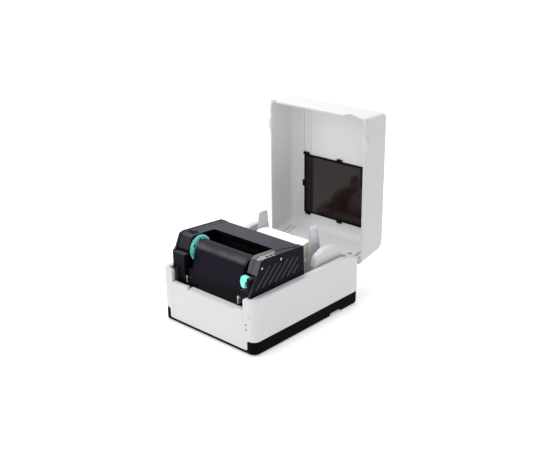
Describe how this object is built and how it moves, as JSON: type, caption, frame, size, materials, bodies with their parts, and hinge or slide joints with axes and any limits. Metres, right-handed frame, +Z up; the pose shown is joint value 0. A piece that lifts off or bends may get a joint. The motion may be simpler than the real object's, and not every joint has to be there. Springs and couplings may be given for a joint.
{
  "type": "label printer",
  "caption": "Desktop label printer with a ribbon carriage, standing with its deep windowed cover open and a label roll in its bay.",
  "frame": {"origin": "middle of the tray's underside, between the feet, which reach 1.8 mm lower", "axes": "+X to the printer's right, -Y to its front, +Z up"},
  "size_m": [0.224, 0.3419, 0.3359],
  "materials": {
    "white_plastic": "fine satin texture",
    "cover_plastic": "fine satin texture",
    "black_plastic": "satin",
    "tray_plastic": "satin",
    "turquoise_plastic": "satin",
    "rubber": "matt",
    "steel": "satin",
    "aluminium": "satin",
    "bush_bronze": "satin",
    "ribbon_film": "waxed film",
    "label_paper": "smooth",
    "core_card": "matt",
    "smoked_window": "polished",
    "lens": "frosted",
    "circuit_board": "lacquered",
    "gear_nylon": "satin"
  },
  "bodies": {
    "base": {"bottom_tray": "tray_plastic", "rubber_foot_front_left": "rubber", "rubber_foot_front_right": "rubber", "rubber_foot_rear_left": "rubber", "rubber_foot_rear_right": "rubber", "body_shell": "white_plastic", "front_panel": "white_plastic", "tear_bar": "steel", "platen_bracket_left": "steel", "platen_bracket_right": "steel", "platen_bush_left": "bush_bronze", "platen_bush_right": "bush_bronze", "stepper_motor": "steel", "main_board": "circuit_board", "power_inlet": "black_plastic", "usb_port": "steel", "led_light_guide": "lens", "media_bay": "white_plastic", "bay_housing_left": "white_plastic", "bay_housing_right": "white_plastic", "media_guide": "black_plastic", "lid_hinge_rod": "steel", "carriage_pin_left": "steel", "carriage_pin_right": "steel"},
    "lid": {"lid_shell": "cover_plastic", "lid_window": "smoked_window", "lid_hinge_arm_left": "cover_plastic", "lid_hinge_arm_right": "cover_plastic"},
    "carriage": {"carriage_frame": "black_plastic", "carriage_cover_left": "black_plastic", "carriage_cover_right": "black_plastic", "carriage_foot_left": "black_plastic", "carriage_foot_right": "black_plastic", "print_head": "gear_nylon", "head_heat_sink": "aluminium", "ribbon_guide_bar": "steel", "ribbon_film": "ribbon_film"},
    "take_up": {"take_up_gear": "turquoise_plastic", "take_up_core": "core_card", "take_up_ribbon": "ribbon_film"},
    "supply": {"supply_core": "core_card", "supply_ribbon": "ribbon_film"},
    "lever": {"release_lever": "turquoise_plastic"},
    "platen": {"platen_roller": "rubber", "platen_shaft": "steel", "platen_gear": "gear_nylon"},
    "idler": {"idler_gear": "gear_nylon"},
    "motor_pinion": {"motor_gear": "bush_bronze"},
    "roll": {"label_roll": "label_paper", "roll_core": "core_card"},
    "arm_left": {"media_arm_left": "white_plastic", "arm_rack_left": "white_plastic", "arm_hub_left": "white_plastic"},
    "arm_right": {"media_arm_right": "white_plastic", "arm_rack_right": "white_plastic", "arm_hub_right": "white_plastic"},
    "arm_pinion": {"arm_pinion": "gear_nylon"},
    "sensor": {"media_sensor": "black_plastic"},
    "switch": {"power_switch": "black_plastic"},
    "button": {"feed_button": "white_plastic"}
  },
  "joints": [
    {"name": "lid_hinge", "type": "hinge", "parent": "base", "child": "lid", "pos_m": [0, 0.1208, 0.0773], "axis": [-1, 0, 0], "range_deg": [-90, 0]},
    {"name": "carriage_hinge", "type": "hinge", "parent": "base", "child": "carriage", "pos_m": [0, -0.008, 0.088], "axis": [-1, 0, 0], "range_deg": [0, 45]},
    {"name": "take_up_spin", "type": "hinge", "parent": "carriage", "child": "take_up", "pos_m": [0, -0.0865, 0.1265], "axis": [1, 0, 0], "continuous": true},
    {"name": "supply_spin", "type": "hinge", "parent": "carriage", "child": "supply", "pos_m": [0, -0.028, 0.121], "axis": [1, 0, 0], "continuous": true},
    {"name": "lever_pull", "type": "hinge", "parent": "carriage", "child": "lever", "pos_m": [0, -0.118, 0.107], "axis": [1, 0, 0], "range_deg": [0, 18], "stiffness_Nm_per_rad": 0.05, "springref_deg": -11.46},
    {"name": "platen_spin", "type": "hinge", "parent": "base", "child": "platen", "pos_m": [0, -0.112, 0.062], "axis": [1, 0, 0], "continuous": true},
    {"name": "idler_spin", "type": "hinge", "parent": "base", "child": "idler", "pos_m": [0, -0.09633, 0.05236], "axis": [1, 0, 0], "continuous": true},
    {"name": "motor_spin", "type": "hinge", "parent": "base", "child": "motor_pinion", "pos_m": [0, -0.08543, 0.04565], "axis": [1, 0, 0], "continuous": true},
    {"name": "roll_spin", "type": "hinge", "parent": "base", "child": "roll", "pos_m": [0, 0.055, 0.0794], "axis": [1, 0, 0], "continuous": true},
    {"name": "arm_slide_right", "type": "slide", "parent": "base", "child": "arm_right", "axis": [1, 0, 0], "range_m": [0, 0.012], "stiffness_N_per_m": 60, "springref_m": -0.01},
    {"name": "arm_slide_left", "type": "slide", "parent": "base", "child": "arm_left", "axis": [-1, 0, 0], "range_m": [0, 0.012]},
    {"name": "arm_pinion_turn", "type": "hinge", "parent": "base", "child": "arm_pinion", "pos_m": [0, 0.065, 0.017], "axis": [0, 0, -1], "range_deg": [0, 86]},
    {"name": "sensor_slide", "type": "slide", "parent": "base", "child": "sensor", "axis": [1, 0, 0], "range_m": [-0.04, 0.04]},
    {"name": "switch_rock", "type": "hinge", "parent": "base", "child": "switch", "pos_m": [-0.04, 0.133, 0.046], "axis": [1, 0, 0], "range_deg": [-16, 0]},
    {"name": "button_press", "type": "slide", "parent": "base", "child": "button", "axis": [0, 1, 0], "range_m": [0, 0.0012], "stiffness_N_per_m": 300, "springref_m": -0.001}
  ],
  "couplings": [
    {"joint": "idler_spin", "follows": "platen_spin", "ratio": -1.3},
    {"joint": "motor_spin", "follows": "platen_spin", "ratio": 2.1667},
    {"joint": "arm_slide_left", "follows": "arm_slide_right", "ratio": 1},
    {"joint": "arm_pinion_turn", "follows": "arm_slide_right", "rad_per_m": 125}
  ]
}
